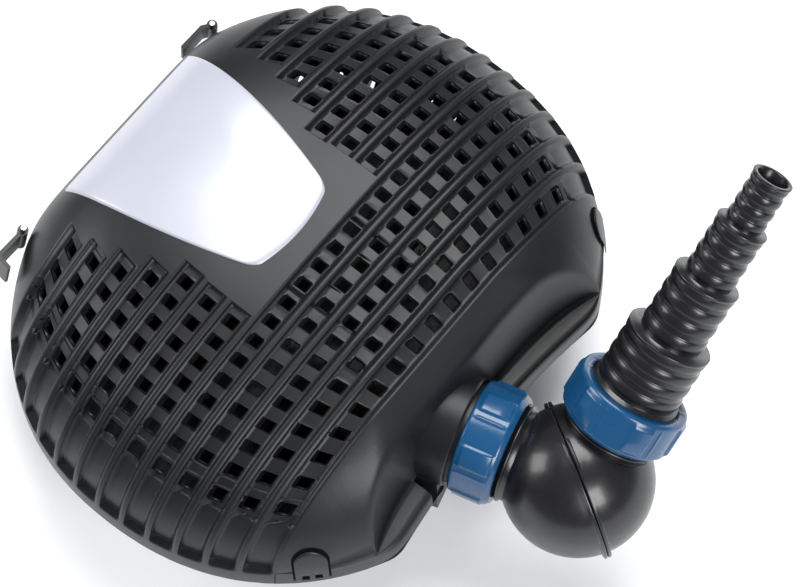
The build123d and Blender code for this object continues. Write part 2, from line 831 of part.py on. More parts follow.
# ---------------------------------------------------------------- outlet line
with BuildPart() as outlet_neck:
    with BuildSketch(outlet_section):
        ring_profile(-socket_end, -pipe_end, bore_radius, pipe_radius)
        ring_profile(-pipe_end, -collar_end, bore_radius, collar_radius)
        ring_profile(-collar_end, -flange_end - gasket, bore_radius, thread_radius)
    revolve(axis=outlet_axis)
    rims = outlet_neck.edges().filter_by(GeomType.CIRCLE)
    chamfer(rims.filter_by(lambda edge: edge.radius > collar_radius - 0.1), 0.8)
outlet_neck.part.label = "outlet_neck"
export_step(outlet_neck.part, "parts/outlet_neck.step")

with BuildPart() as neck_gasket:
    with BuildSketch(outlet_section):
        ring_profile(-flange_end - gasket, -flange_end, bore_radius + 1, thread_radius - 0.5)
    revolve(axis=outlet_axis)
neck_gasket.part.label = "neck_gasket"
export_step(neck_gasket.part, "parts/neck_gasket.step")

with BuildPart() as hose_gasket:
    with BuildSketch(hose_section):
        ring_profile(hose_thread_end, hose_thread_end + gasket, bore_radius + 1, thread_radius - 0.5)
    revolve(axis=hose_axis)
hose_gasket.part.label = "hose_gasket"
export_step(hose_gasket.part, "parts/hose_gasket.step")


def union_nut(section, axis, outward, lip_start, lip_radius):
    """Grip nut on the ball's outward side, 1 or -1; its lip pulls a flange against a thread."""
    lip_end = lip_start + lip
    nut_end = nut_face + nut_length
    with BuildPart() as nut:
        with BuildSketch(section):
            with BuildLine():
                profile = [
                    (nut_face, thread_radius + clear),
                    (nut_face, nut_radius - 1.6),
                    (nut_face + 1.6, nut_radius),
                    (nut_end - 1.2, nut_radius),
                    (nut_end, nut_radius - 1.2),
                    (nut_end, thread_radius + clear),
                ]
                Polyline(*[(outward * x, y) for x, y in profile], close=True)
            make_face()
            ring_profile(outward * lip_start, outward * lip_end, lip_radius, nut_radius - 1.6)
        revolve(axis=axis)
        for turn in range(grip_count):
            angle = turn * 360 / grip_count - grip_turn
            across = section.z_dir.rotate(Axis(zero, section.x_dir), angle)
            grip = Plane(origin=section.origin, x_dir=section.x_dir, z_dir=across)
            with BuildSketch(grip):
                with BuildLine():
                    profile = [
                        (nut_face + 2.2, nut_radius - 1),
                        (nut_face + 3.4, nut_radius + nut_land),
                        (nut_end - 2.6, nut_radius + nut_land),
                        (nut_end - 1.6, nut_radius - 1),
                    ]
                    Polyline(*[(outward * x, y) for x, y in profile], close=True)
                make_face()
            revolve(axis=axis, revolution_arc=grip_width)
    return nut.part


with BuildPart() as union_nut_pump:
    add(union_nut(outlet_section, outlet_axis, -1, nut_face, ball_neck_radius + clear))
union_nut_pump.part.label = "union_nut_pump"
export_step(union_nut_pump.part, "parts/union_nut_pump.step")

with BuildPart() as union_nut_hose:
    add(union_nut(hose_section, hose_axis, 1, nut_face + nut_length - lip, tail_neck_radius + clear))
union_nut_hose.part.label = "union_nut_hose"
export_step(union_nut_hose.part, "parts/union_nut_hose.step")


def ball_half(side):
    """Hollow half ball with its seam flange; side is 1 on the hose side, -1 on the pump side."""
    with BuildPart() as half:
        with BuildSketch(seam_section):
            with BuildLine():
                gap = side * clear / 2
                rise = (ball_radius ** 2 - (clear / 2) ** 2) ** 0.5
                inner = ball_radius - ball_wall
                fall = (inner ** 2 - (clear / 2) ** 2) ** 0.5
                Line((gap, fall), (gap, rise))
                ThreePointArc((gap, rise), (side * ball_radius * cos(radians(45)), ball_radius * sin(radians(45))),
                              (side * ball_radius, 0))
                Line((side * ball_radius, 0), (side * inner, 0))
                ThreePointArc((side * inner, 0), (side * inner * cos(radians(45)), inner * sin(radians(45))),
                              (gap, fall))
            make_face()
            ring_profile(gap, side * seam_half, inner + 1, seam_radius)
        revolve(axis=seam_axis)
    return half.part


with BuildPart() as elbow_inlet_half:
    add(ball_half(-1))
    with BuildSketch(outlet_section):
        ring_profile(-nut_face - lip - clear, -neck_root, bore_radius, ball_neck_radius)
        ring_profile(-flange_end, -nut_face - lip - clear, bore_radius, thread_radius)
    revolve(axis=outlet_axis)
    with BuildSketch(across_outlet(-flange_end)):
        Circle(bore_radius)
    extrude(amount=flange_end - bore_start, mode=Mode.SUBTRACT)
    with BuildSketch(seam_section):
        ring_profile(-seal_depth - clear / 2, -clear / 2, seal_inner, seal_outer)
    revolve(axis=seam_axis, mode=Mode.SUBTRACT)
elbow_inlet_half.part.label = "elbow_inlet_half"
export_step(elbow_inlet_half.part, "parts/elbow_inlet_half.step")

with BuildPart() as elbow_seam_ring:
    with BuildSketch(seam_section):
        ring_profile(-seal_depth - clear / 2, -clear / 2, seal_inner, seal_outer)
    revolve(axis=seam_axis)
elbow_seam_ring.part.label = "elbow_seam_ring"
export_step(elbow_seam_ring.part, "parts/elbow_seam_ring.step")

with BuildPart() as elbow_outlet_half:
    add(ball_half(1))
    with BuildSketch(seam_section):
        ring_profile(-spigot_reach, clear / 2, spigot_inner, ball_radius - ball_wall - clear)
        ring_profile(clear / 2, spigot_reach, spigot_inner, ball_radius - ball_wall + 1)
    revolve(axis=seam_axis)
    with BuildSketch(hose_section):
        ring_profile(neck_root, hose_thread_start, bore_radius, ball_neck_radius)
        ring_profile(hose_thread_start, hose_thread_end, bore_radius, thread_radius)
    revolve(axis=hose_axis)
    with BuildSketch(across_hose(bore_start)):
        Circle(bore_radius)
    extrude(amount=hose_thread_end - bore_start, mode=Mode.SUBTRACT)
elbow_outlet_half.part.label = "elbow_outlet_half"
export_step(elbow_outlet_half.part, "parts/elbow_outlet_half.step")

# ---------------------------------------------------------------- hose tail
with BuildPart() as hose_tail:
    with BuildSketch(hose_section):
        tail_root = hose_thread_end + gasket
        start = nut_face + nut_length + 1
        ring_profile(tail_root, tail_root + tail_flange, tail_bores[0], thread_radius)
        ring_profile(tail_root, start, tail_bores[0], tail_neck_radius)
        for index, (barb_radius, end) in enumerate(tail_steps):
            ring_profile(start, end, tail_bores[index], barb_radius - barb_height)
            if index + 1 < len(tail_steps):
                ring_profile(end - 3, end, tail_bores[index + 1], barb_radius - barb_height)
            pitch = (end - start) / barbs_per_step
            for barb in range(barbs_per_step):
                foot = start + pitch * barb
                with BuildLine():
                    Polyline(
                        (foot + 0.1 * pitch, barb_radius - barb_height - 0.5),
                        (foot + 0.3 * pitch, barb_radius),
                        (foot + 0.5 * pitch, barb_radius),
                        (foot + pitch, barb_radius - barb_height - 0.5),
                        close=True,
                    )
                make_face()
            start = end
    revolve(axis=hose_axis)
hose_tail.part.label = "hose_tail"
export_step(hose_tail.part, "parts/hose_tail.step")
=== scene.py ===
"""Looks of a caged fountain pump with a ball elbow, union nuts and a stepped hose tail."""
import json
from math import cos, radians, sin

import bpy
import numpy as np
from mathutils import Matrix, Vector


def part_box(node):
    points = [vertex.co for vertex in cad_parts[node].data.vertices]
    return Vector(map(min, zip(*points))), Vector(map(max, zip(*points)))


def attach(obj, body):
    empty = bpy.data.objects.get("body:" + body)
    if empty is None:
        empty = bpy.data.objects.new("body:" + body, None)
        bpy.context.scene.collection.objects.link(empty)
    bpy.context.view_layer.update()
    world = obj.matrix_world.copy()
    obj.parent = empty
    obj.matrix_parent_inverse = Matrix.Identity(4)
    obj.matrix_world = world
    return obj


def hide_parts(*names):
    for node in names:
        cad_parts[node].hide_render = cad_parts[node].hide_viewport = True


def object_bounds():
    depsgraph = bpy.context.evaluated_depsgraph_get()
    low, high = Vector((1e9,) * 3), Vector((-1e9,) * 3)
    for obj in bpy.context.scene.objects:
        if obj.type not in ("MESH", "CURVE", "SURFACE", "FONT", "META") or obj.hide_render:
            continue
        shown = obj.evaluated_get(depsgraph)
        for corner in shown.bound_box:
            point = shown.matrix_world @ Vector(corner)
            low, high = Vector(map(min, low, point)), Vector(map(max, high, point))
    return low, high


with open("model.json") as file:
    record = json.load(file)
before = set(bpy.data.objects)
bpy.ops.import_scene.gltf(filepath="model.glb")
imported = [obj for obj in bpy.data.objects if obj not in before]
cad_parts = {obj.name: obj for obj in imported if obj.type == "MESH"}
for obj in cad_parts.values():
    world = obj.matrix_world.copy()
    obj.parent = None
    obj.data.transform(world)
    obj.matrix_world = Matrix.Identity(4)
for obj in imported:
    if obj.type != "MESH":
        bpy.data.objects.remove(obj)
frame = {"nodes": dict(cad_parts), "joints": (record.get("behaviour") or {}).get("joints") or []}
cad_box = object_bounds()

# ---------------------------------------------------------------- studio
# A pale floor, a big soft lamp overhead and two smaller ones, and a long lens that looks
# down on the pump from in front of its outlet side.
VIEW_AZIMUTH = radians(42.04)
VIEW_ELEVATION = radians(68.58)
VIEW_ROLL = radians(-3.0)
EYE = Vector((0.4044, -0.3788, 1.4473))


def look_down(azimuth, elevation, roll):
    """Camera axes: right is level, up leans back by the elevation, and both turn by the roll."""
    right = Vector((cos(azimuth), sin(azimuth), 0))
    toward = Vector((cos(elevation) * sin(azimuth), -cos(elevation) * cos(azimuth), sin(elevation)))
    over = toward.cross(right)
    turned_right = right * cos(roll) + over * sin(roll)
    turned_over = over * cos(roll) - right * sin(roll)
    return Matrix((turned_right, turned_over, toward)).transposed().to_4x4()


lens = bpy.data.cameras.new("long_lens")
lens.lens = 144.9
lens.sensor_width = 36
lens.clip_end = 20
camera = bpy.data.objects.new("camera", lens)
camera.matrix_world = Matrix.Translation(EYE) @ look_down(VIEW_AZIMUTH, VIEW_ELEVATION, VIEW_ROLL)
bpy.context.scene.collection.objects.link(camera)
bpy.context.scene.camera = camera


def soft_lamp(name, place, aim, size, power):
    """Square area lamp at a place, turned towards a point."""
    light = bpy.data.lights.new(name, "AREA")
    light.shape = "SQUARE"
    light.size = size
    light.energy = power
    lamp = bpy.data.objects.new(name, light)
    away = (Vector(place) - Vector(aim)).to_track_quat("Z", "Y")
    lamp.matrix_world = Matrix.Translation(place) @ away.to_matrix().to_4x4()
    bpy.context.scene.collection.objects.link(lamp)


soft_lamp("over_lamp", (-0.35, 0.75, 1.7), (0.05, 0, 0.05), 1.1, 40)
soft_lamp("front_lamp", (1.3, -0.5, 1.1), (0.1, 0, 0.06), 0.8, 26)
soft_lamp("rear_lamp", (-1.2, -0.6, 0.9), (0, 0, 0.06), 0.7, 13)

world = bpy.data.worlds.new("pale_room")
world.use_nodes = True
world.node_tree.nodes["Background"].inputs["Color"].default_value = (0.92, 0.94, 1, 1)
world.node_tree.nodes["Background"].inputs["Strength"].default_value = 0.3
bpy.context.scene.world = world
bpy.context.scene.view_settings.view_transform = "Standard"


def mesh_piece(name, points, faces, smooth=True):
    """Mesh object from an array of points in metres and a list of faces."""
    mesh = bpy.data.meshes.new(name)
    mesh.from_pydata(np.asarray(points).reshape(-1, 3).tolist(), [], np.asarray(faces).tolist())
    mesh.validate()
    mesh.update()
    mesh.shade_smooth() if smooth else mesh.shade_flat()
    piece = bpy.data.objects.new(name, mesh)
    bpy.context.scene.collection.objects.link(piece)
    return piece


class Sock:
    """A shader socket that adds Math nodes when values are combined with operators."""

    def __init__(self, bench, socket):
        self.bench = bench
        self.socket = socket

    def join(self, operation, other):
        return self.bench.node("ShaderNodeMath", {"operation": operation}, {0: self, 1: other})

    def __add__(self, other):
        return self.join("ADD", other)

    __radd__ = __add__

    def __mul__(self, other):
        return self.join("MULTIPLY", other)

    __rmul__ = __mul__


class Finish:
    """One procedural material: a Principled surface and the nodes that vary it."""

    def __init__(self, name, colour, roughness, coat=0.0, metal=0.0, specular=0.5):
        self.material = bpy.data.materials.new(name)
        self.material.use_nodes = True
        self.tree = self.material.node_tree
        self.surface = self.tree.nodes["Principled BSDF"]
        self.surface.inputs["Base Color"].default_value = (*colour, 1)
        self.surface.inputs["Roughness"].default_value = roughness
        self.surface.inputs["Coat Weight"].default_value = coat
        self.surface.inputs["Coat Roughness"].default_value = 0.12
        self.surface.inputs["Metallic"].default_value = metal
        self.surface.inputs["Specular IOR Level"].default_value = specular
        self.place = self.node("ShaderNodeTexCoord", {}, {}, "Object")

    def node(self, kind, settings, values, output=0):
        """Add a node: its settings first, then its inputs as numbers or sockets."""
        made = self.tree.nodes.new(kind)
        for key, value in settings.items():
            if key == "stops":
                ramp = made.color_ramp
                for index, (position, colour) in enumerate(value):
                    stop = ramp.elements[index] if index < 2 else ramp.elements.new(position)
                    stop.position = position
                    stop.color = (*colour, 1)
            else:
                setattr(made, key, value)
        for key, value in values.items():
            if isinstance(value, Sock):
                self.tree.links.new(value.socket, made.inputs[key])
            else:
                made.inputs[key].default_value = value
        return Sock(self, made.outputs[output])

    def noise(self, scale, detail=3.0):
        """Noise of so many waves to the metre, from 0 to 1."""
        waves = {"Vector": self.place, "Scale": scale, "Detail": detail}
        return self.node("ShaderNodeTexNoise", {}, waves, "Fac")

    def blend(self, amount, first, second):
        """Mix two colours by an amount."""
        mixed = {"data_type": "RGBA"}
        colours = {0: amount, 6: (*first, 1), 7: (*second, 1)}
        return self.node("ShaderNodeMix", mixed, colours, 2)

    def feed(self, name, socket):
        """Lead a socket into one of the surface's inputs."""
        self.tree.links.new(socket.socket, self.surface.inputs[name])

    def bump(self, height, distance, strength=1.0):
        """Turn a height from 0 to 1 into surface relief, its distance in metres."""
        relief = {"Height": height, "Distance": distance, "Strength": strength}
        self.feed("Normal", self.node("ShaderNodeBump", {}, relief, "Normal"))


def dress(finish, *nodes):
    """Give CAD nodes or pieces a finish in every material slot."""
    for node in nodes:
        piece = frame["nodes"][node] if isinstance(node, str) else node
        piece.data.materials.clear()
        piece.data.materials.append(finish.material)


floor_height = cad_box[0][2]
reach = 6.0
floor_corners = [(-reach, -reach), (reach, -reach), (reach, reach), (-reach, reach)]
floor = mesh_piece("floor", [(x, y, floor_height) for x, y in floor_corners], [(0, 1, 2, 3)])
paper = Finish("pale_paper", (0.86, 0.87, 0.88), 0.9)
paper.bump(paper.noise(90), 0.0002)
dress(paper, floor)

# ---------------------------------------------------------------- cage cover
# A dark, crowned moulding. Twelve channels run across it, each with a row of square holes cut
# through its floor; a recess at the front clears the outlet. Lengths here are in millimetres.
mm = 0.001
cover_low, cover_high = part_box("upper_shell")
part_line = cover_low.z / mm
half_width = cover_high.y / mm
crown_rise = 72.0
plan_power = 2.2
crown_power = 2.4
rounding = 18               # how sharply the cut ends meet the sides
length_share = 0.55         # plan_power / 4
halvings = 36
mid_x = 3.0
front_reach = 130.0
rear_reach = 122.0
rear_end = 114.0
band_top = 69.0
row_pitch = 14.0
last_hole_inset = 24.0
half_row_pitch = 11.3
channel_lead = 7.5
rows = np.arange(1, 13)
front_start = 84.0          # where the last row's ridge ends
row_x = row_pitch * (rows - 6.5)
full_rows = {8: 22, 9: 20, 10: 20, 11: 18, 12: 16}
half_rows = {1: 3, 2: 4, 3: 5, 4: 6, 5: 7, 6: 7, 7: 7}
edge_share = 0.9
band_fall = 1 - ((band_top - part_line) / crown_rise) ** crown_power


def fallen(x, y):
    """How far the crown has fallen at a plan point: 0 at the top, 1 at the rim.

    Each level of the cage is a superellipse of power 2.2 whose length shrinks with the fall to
    the power 1/4 and whose width with the power 1/2.4; cut ends shrink with it. The larger of
    the two falls counts, with the corner between them rounded."""
    along = np.abs(x - mid_x)
    a = (along / np.where(x > mid_x, front_reach, rear_reach)) ** plan_power
    b = (np.abs(y) / half_width) ** plan_power
    low = np.full(np.broadcast(x, y).shape, 1e-4)
    high = np.full(low.shape, 1.5)
    for _ in range(halvings):
        middle = (low + high) / 2
        outside = a * middle ** -length_share + b * middle ** (-plan_power / crown_power) > 1
        low = np.where(outside, middle, low)
        high = np.where(outside, high, middle)
    end = np.where(x > mid_x, 110 + 6 * np.minimum((y / 72) ** 2, 1.4), rear_end)
    cut = (along / end) ** 4
    return (low ** rounding + cut ** rounding) ** (1 / rounding)


def dome(x, y):
    """Height of the crown over a plan point: a power curve of the fall."""
    return part_line + crown_rise * (1 - np.minimum(fallen(x, y), 1)) ** (1 / crown_power)


def side_reach(x, fall):
    """Half width of the cage's level of a given fall, at x."""
    a = (np.abs(x - mid_x) / np.where(x > mid_x, front_reach, rear_reach)) ** plan_power
    share = np.maximum(1 - a * fall ** -length_share, 0) * fall ** (plan_power / crown_power)
    return half_width * share ** (1 / plan_power)


def band_angle(x):
    """Angle on the section's circle at which the channels end above the smooth band."""
    return np.arcsin(side_reach(x, band_fall) / side_reach(x, 1.0))


def line_of(y, x):
    """Number of the lengthwise line through a plan point: 0.9 at the band, 1 at the rim."""
    return edge_share * np.arcsin(y / side_reach(x, 1.0)) / band_angle(x)


def y_of(line, x):
    """Plan position of a lengthwise line at x, the reverse of line_of."""
    inner = np.clip(np.abs(line) / edge_share, 0, 1) * band_angle(x)
    outer = np.clip((np.abs(line) - edge_share) / (1 - edge_share), 0, 1) * (np.pi / 2 - band_angle(x))
    return np.sign(line) * side_reach(x, 1.0) * np.sin(inner + outer)


def hole_places(row):
    """Distances of a row's holes from the middle: full rows are evenly divided, half rows keep a pitch."""
    last = side_reach(row_x[row - 1], 1.0) - last_hole_inset
    if row in full_rows:
        return np.linspace(-last, last, full_rows[row])
    one_side = last - half_row_pitch * np.arange(half_rows[row])
    return np.concatenate([-one_side, one_side])


def channel_start(row):
    """Where a half row's channel begins beside the badge."""
    first_hole = last_hole_inset + half_row_pitch * (half_rows[row] - 1)
    return side_reach(row_x[row - 1], 1.0) - first_hole - channel_lead


hole_half = 2.95
step = 0.35
line_set = [np.array([-1, -0.985, -0.955, -0.925, -edge_share, edge_share, 0.925, 0.955, 0.985, 1])]
line_set.append(np.array([0.006 - edge_share, edge_share - 0.006]))
line_set.append(np.linspace(-0.88, 0.88, 41))
for row in rows:
    places = hole_places(row)
    line_set.append(line_of(places - hole_half, row_x[row - 1]))
    line_set.append(line_of(places + hole_half, row_x[row - 1]))
    if row in half_rows:
        begin = channel_start(row)
        line_set.append(line_of(np.array([begin, begin + step, -begin, -begin - step]), row_x[row - 1]))
lines = np.unique(np.round(np.concatenate(line_set), 5))

# Across each channel: a ridge, a sharp wall behind, the floor, and a soft ramp in front.
across = np.array([-7.0, -5.5, -5.2, -5.0, -hole_half, hole_half, 4.2, 5.0, 5.7, 6.3])
sunk = np.array([0.0, 0.0, 0.5, 3.2, 3.2, 3.1, 2.9, 1.7, 0.5, 0.05])
station_x = np.concatenate([(row_x[:, None] + across).ravel(), [front_start]])
station_depth = np.concatenate([np.tile(sunk, 12), [0.0]])
station_row = np.concatenate([np.repeat(rows, len(across)), [12]])
open_lines = np.zeros((len(station_x), len(lines)))
for row in rows:
    start = line_of(channel_start(row) + step, row_x[row - 1]) if row in half_rows else 0
    inside = (np.abs(lines) > start - 1e-4) & (np.abs(lines) < edge_share - 0.004)
    open_lines[station_row == row] = inside
middle_x = station_x[:, None] + 0 * lines
middle_y = y_of(lines[None, :], station_x[:, None])
middle = np.stack([middle_x, middle_y, dome(middle_x, middle_y)], axis=-1)


def normals(grid):
    """Unit normals of a grid of points, from its two differences, pointing up and outwards."""
    along = np.gradient(grid, axis=0)
    over = np.gradient(grid, axis=1)
    out = np.cross(along, over)
    return out / np.maximum(np.linalg.norm(out, axis=-1, keepdims=True), 1e-9)


middle_out = normals(middle)
middle = middle - middle_out * (station_depth[:, None] * open_lines)[..., None]

# Behind the first row the lines run straight back to the rear wall.
rear_y = middle[0, :, 1]
rear_stop = np.full(len(lines), -120.0)
rear_start = np.full(len(lines), middle[0, 0, 0])
for _ in range(halvings):
    half = (rear_stop + rear_start) / 2
    beyond = fallen(half, rear_y) >= 0.99995
    rear_stop = np.where(beyond, half, rear_stop)
    rear_start = np.where(beyond, rear_start, half)
share = (1 - np.linspace(0, 1, 15)[1:]) ** 2
rear_x = rear_start + (middle[0, :, 0] - rear_start) * share[::-1][:, None]
rear = np.stack([rear_x, rear_y + 0 * rear_x, dome(rear_x, rear_y + 0 * rear_x)], axis=-1)


def front_at(fall, y):
    """Where a line of constant y meets a level of the crown in front of the last row."""
    low = np.full(len(y), front_start)
    high = np.full(len(y), 125.0)
    for _ in range(halvings):
        half = (low + high) / 2
        beyond = fallen(half, y) > fall
        high = np.where(beyond, half, high)
        low = np.where(beyond, low, half)
    return low


# In front of the last row the lines run to the crest of the outlet's recess, down its drafted
# wall, over the ledge and down the band.
front_y = middle[-1, :, 1]
band_x = front_at(band_fall, front_y)
recess_x = 103.5 + 14.5 * (np.abs(front_y) / 88) ** 4
low = np.full(len(lines), front_start)
high = band_x.copy()
for _ in range(halvings):
    half = (low + high) / 2
    over_wall = dome(half, front_y) > band_top + (recess_x - half) / np.tan(radians(10))
    high = np.where(over_wall, half, high)
    low = np.where(over_wall, low, half)
crest_x = low
crest_z = dome(crest_x, front_y)
foot_x = np.minimum(np.maximum(recess_x, crest_x), band_x)
start_z = np.minimum(dome(front_start + 0 * front_y, front_y), band_top)
sheet = []
for part in (0.2, 0.4, 0.6, 0.78, 0.9):
    x = front_start + (crest_x - front_start) * part
    sheet.append(np.stack([x, front_y, dome(x, front_y)], axis=-1))
wall_run = np.maximum(crest_z - band_top, 0)
soft = np.minimum(wall_run / 12, 1)
sheet.append(np.stack([crest_x, front_y, crest_z - 0.9 * soft], axis=-1))
for part in (0.1, 0.3, 0.6, 0.92, 1.0):
    x = crest_x + (foot_x - crest_x) * part
    sheet.append(np.stack([x, front_y, crest_z + (np.minimum(start_z, crest_z) - crest_z) * part], axis=-1))
for part in (0.25, 0.6, 0.93):
    x = foot_x + (band_x - foot_x) * part
    sheet.append(np.stack([x, front_y, np.minimum(start_z, crest_z)], axis=-1))
for part in (0.06, 0.35, 0.7, 1.0):
    z = start_z + (part_line - start_z) * part
    fall = 1 - (np.maximum(z - part_line, 0) / crown_rise) ** crown_power
    x = np.maximum(front_at(np.minimum(fall, 0.99995), front_y), foot_x)
    sheet.append(np.stack([x, front_y, z], axis=-1))
front = np.stack(sheet)

cover_grid = np.concatenate([rear, middle, front])
rear_count = len(rear)
columns = len(lines)
cell_i, cell_j = np.meshgrid(np.arange(len(cover_grid) - 1), np.arange(columns - 1), indexing="ij")
keep = np.ones(cell_i.shape, bool)

# The slot that the outlet passes through is open below the recess.
outlet_turn = radians(14.8)
slot_middle = -13.5
lateral = (front_y[:-1] + front_y[1:]) / 2 - slot_middle
slot_cells = np.abs(lateral) < 30.0
front_first = rear_count + len(middle)
wall_foot = front_first + 10
keep[wall_foot:, slot_cells] = False

# Each hole is a cell left out of a channel's floor, edged by a chamfer and a short wall.
rings = []
ring_faces = []
ring_base = cover_grid.shape[0] * columns
for row in rows:
    first = rear_count + (row - 1) * len(across) + 4
    for place in hole_places(row):
        from_line = np.argmin(np.abs(lines - line_of(place - hole_half, row_x[row - 1])))
        to_line = np.argmin(np.abs(lines - line_of(place + hole_half, row_x[row - 1])))
        keep[first, from_line:to_line] = False
        span = np.arange(from_line, to_line + 1)
        loop = np.concatenate([first * columns + span, (first + 1) * columns + span[::-1]])
        edge = cover_grid.reshape(-1, 3)[loop]
        out = middle_out[first - rear_count, (from_line + to_line) // 2]
        centre = (cover_grid[first, from_line] + cover_grid[first + 1, to_line]) / 2
        inner = centre + (edge - centre) * (2.5 / hole_half) - out * 0.45
        rings.extend([inner, inner - out * 2.2])
        count = len(loop)
        near = np.arange(count)
        after = np.roll(near, -1)
        one = ring_base + near
        two = one + count
        ring_faces.append(np.stack([loop, loop[after], ring_base + after, one], axis=1))
        ring_faces.append(np.stack([one, ring_base + after, ring_base + count + after, two], axis=1))
        ring_base += 2 * count

corner = cell_i[keep] * columns + cell_j[keep]
cover_faces = np.stack([corner, corner + columns, corner + columns + 1, corner + 1], axis=1)
cover_points = np.concatenate([cover_grid.reshape(-1, 3)] + rings)
cover = mesh_piece("cover_shell", cover_points * mm, np.concatenate([cover_faces] + ring_faces))
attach(cover, "cover")
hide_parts("upper_shell")

dark_shell = Finish("dark_shell_plastic", (0.008, 0.009, 0.0105), 0.42, coat=0.03, specular=0.3)
grain = dark_shell.noise(900, 4)
haze = dark_shell.noise(26, 4)
dark_shell.feed("Base Color", dark_shell.blend(haze, (0.0038, 0.0043, 0.0052), (0.008, 0.009, 0.0105)))
dark_shell.feed("Roughness", 0.34 + 0.16 * haze)
dark_shell.bump(grain * 0.6 + haze * 0.4, 0.00012, 0.5)
dress(dark_shell, cover)

# ---------------------------------------------------------------- badge
# A pale, satin shield let into the rear of the cover and snapped in from above. It follows the
# crown a millimetre proud and rolls over the rear edge; its face is left plain.
badge_rear = -100.5
badge_nose = 5.5
badge_across, badge_along = np.meshgrid(np.linspace(-1, 1, 61), np.linspace(0, 1, 71), indexing="ij")
badge_half = 44.5 - 1.8 * badge_along - 16.2 * badge_along ** 2
corner_cut = 5.0 * (np.maximum(np.abs(badge_across) - 0.8, 0) / 0.2) ** 2
badge_end = badge_nose - 5.0 * badge_across ** 2 - corner_cut
badge_x = badge_rear + (badge_end - badge_rear) * badge_along
badge_y = badge_across * badge_half
rim = np.minimum(np.minimum(1 - np.abs(badge_across), 1 - badge_along) * 26, 1)
rim = np.minimum(rim, badge_along * 60 + 0.2)
lift = -1.6 + 2.5 * np.sqrt(np.clip(1 - (1 - rim) ** 2, 0, 1))
badge_grid = np.stack([badge_x, badge_y, dome(badge_x, badge_y)], axis=-1)
badge_out = -normals(badge_grid)
badge_out = badge_out * np.sign(badge_out[..., 2:] + 1e-9)
badge_grid = badge_grid + badge_out * lift[..., None]


def grid_faces(count_u, count_v, turned=False):
    """Four-cornered faces of a grid of points laid out row by row."""
    i, j = np.meshgrid(np.arange(count_u - 1), np.arange(count_v - 1), indexing="ij")
    start = (i * count_v + j).ravel()
    faces = np.stack([start, start + count_v, start + count_v + 1, start + 1], axis=1)
    return faces[:, ::-1] if turned else faces


badge = mesh_piece("badge_face", badge_grid * mm, grid_faces(*badge_across.shape, turned=True))
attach(badge, "cover")
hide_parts("badge_plate")

pale_badge = Finish("pale_badge_plastic", (0.45, 0.46, 0.53), 0.3, coat=0.2)
clouds = pale_badge.noise(18, 3)
pale_badge.feed("Base Color", pale_badge.blend(clouds, (0.35, 0.36, 0.42), (0.40, 0.41, 0.46)))
pale_badge.feed("Roughness", 0.24 + 0.12 * clouds)
pale_badge.bump(pale_badge.noise(700, 2), 0.00006, 0.4)
dress(pale_badge, badge)

# ---------------------------------------------------------------- latches and cord clips
# Arched spring tongues moulded at the front corners, and swing clips on steel pins behind.
# Each tongue stands a little proud of the cover, over a black sheet of painted shade that stands in for the
# shadow in its gap.
latch_width = 15.0
latch_foot = 62.0
latch_straight = 16.0
latch_place = (94.0, 103.0)
latch_outward = (0.72, 0.69)
window_edges = (1.2, 4.6)
window_heights = (2.0, 6.0)


def on_corner(side, across, height, proud):
    """Points of the crown in front of a latch: across the tongue, at a height, a growth proud.

    From the corner's middle each point is pushed outwards until the crown has fallen to its
    height, found by halving the distance."""
    outward = np.array([latch_outward[0], latch_outward[1] * side])
    outward = outward / np.linalg.norm(outward)
    tangent = np.array([-outward[1], outward[0]]) * side
    plan = np.array([latch_place[0], latch_place[1] * side]) + across[..., None] * tangent
    fall = 1 - (np.maximum(height - part_line, 0) / crown_rise) ** crown_power
    low = np.full(height.shape, -40.0)
    high = np.full(height.shape, 30.0)
    for _ in range(halvings):
        half = (low + high) / 2
        beyond = fallen(plan[..., 0] + half * outward[0], plan[..., 1] + half * outward[1]) > fall
        high = np.where(beyond, half, high)
        low = np.where(beyond, low, half)
    reach = (low + proud)[..., None] * outward
    return np.concatenate([plan + reach, height[..., None]], axis=-1)


def latch_sheet(side, grow, proud, windows):
    """Arched sheet on the crown with square windows left out, and its faces."""
    half = latch_width / 2 + grow
    inner, outer = window_edges
    cut = [-half, -outer, -inner, inner, outer, half]
    across = np.unique(np.concatenate([cut, half * np.sin(np.linspace(-np.pi / 2, np.pi / 2, 25))]))
    top = latch_foot + latch_straight + np.sqrt(np.maximum(half ** 2 - across ** 2, 0))
    fixed = np.array([latch_foot - grow, latch_foot + window_heights[0], latch_foot + window_heights[1]])
    share = np.linspace(0, 1, 9)[1:]
    rest = fixed[-1] + (top[:, None] - fixed[-1]) * share
    height = np.concatenate([np.broadcast_to(fixed, (len(across), 3)), rest], axis=1)
    points = on_corner(side, across[:, None] + 0 * height, height, proud)
    i, j = np.meshgrid(np.arange(len(across) - 1), np.arange(height.shape[1] - 1), indexing="ij")
    middle_of = np.abs((across[:-1] + across[1:]) / 2)[:, None]
    hole = windows & (j == 1) & (middle_of > inner) & (middle_of < outer)
    start = (i * height.shape[1] + j)[~hole]
    after = start + height.shape[1]
    return points, np.stack([start, after, after + 1, start + 1], axis=1)


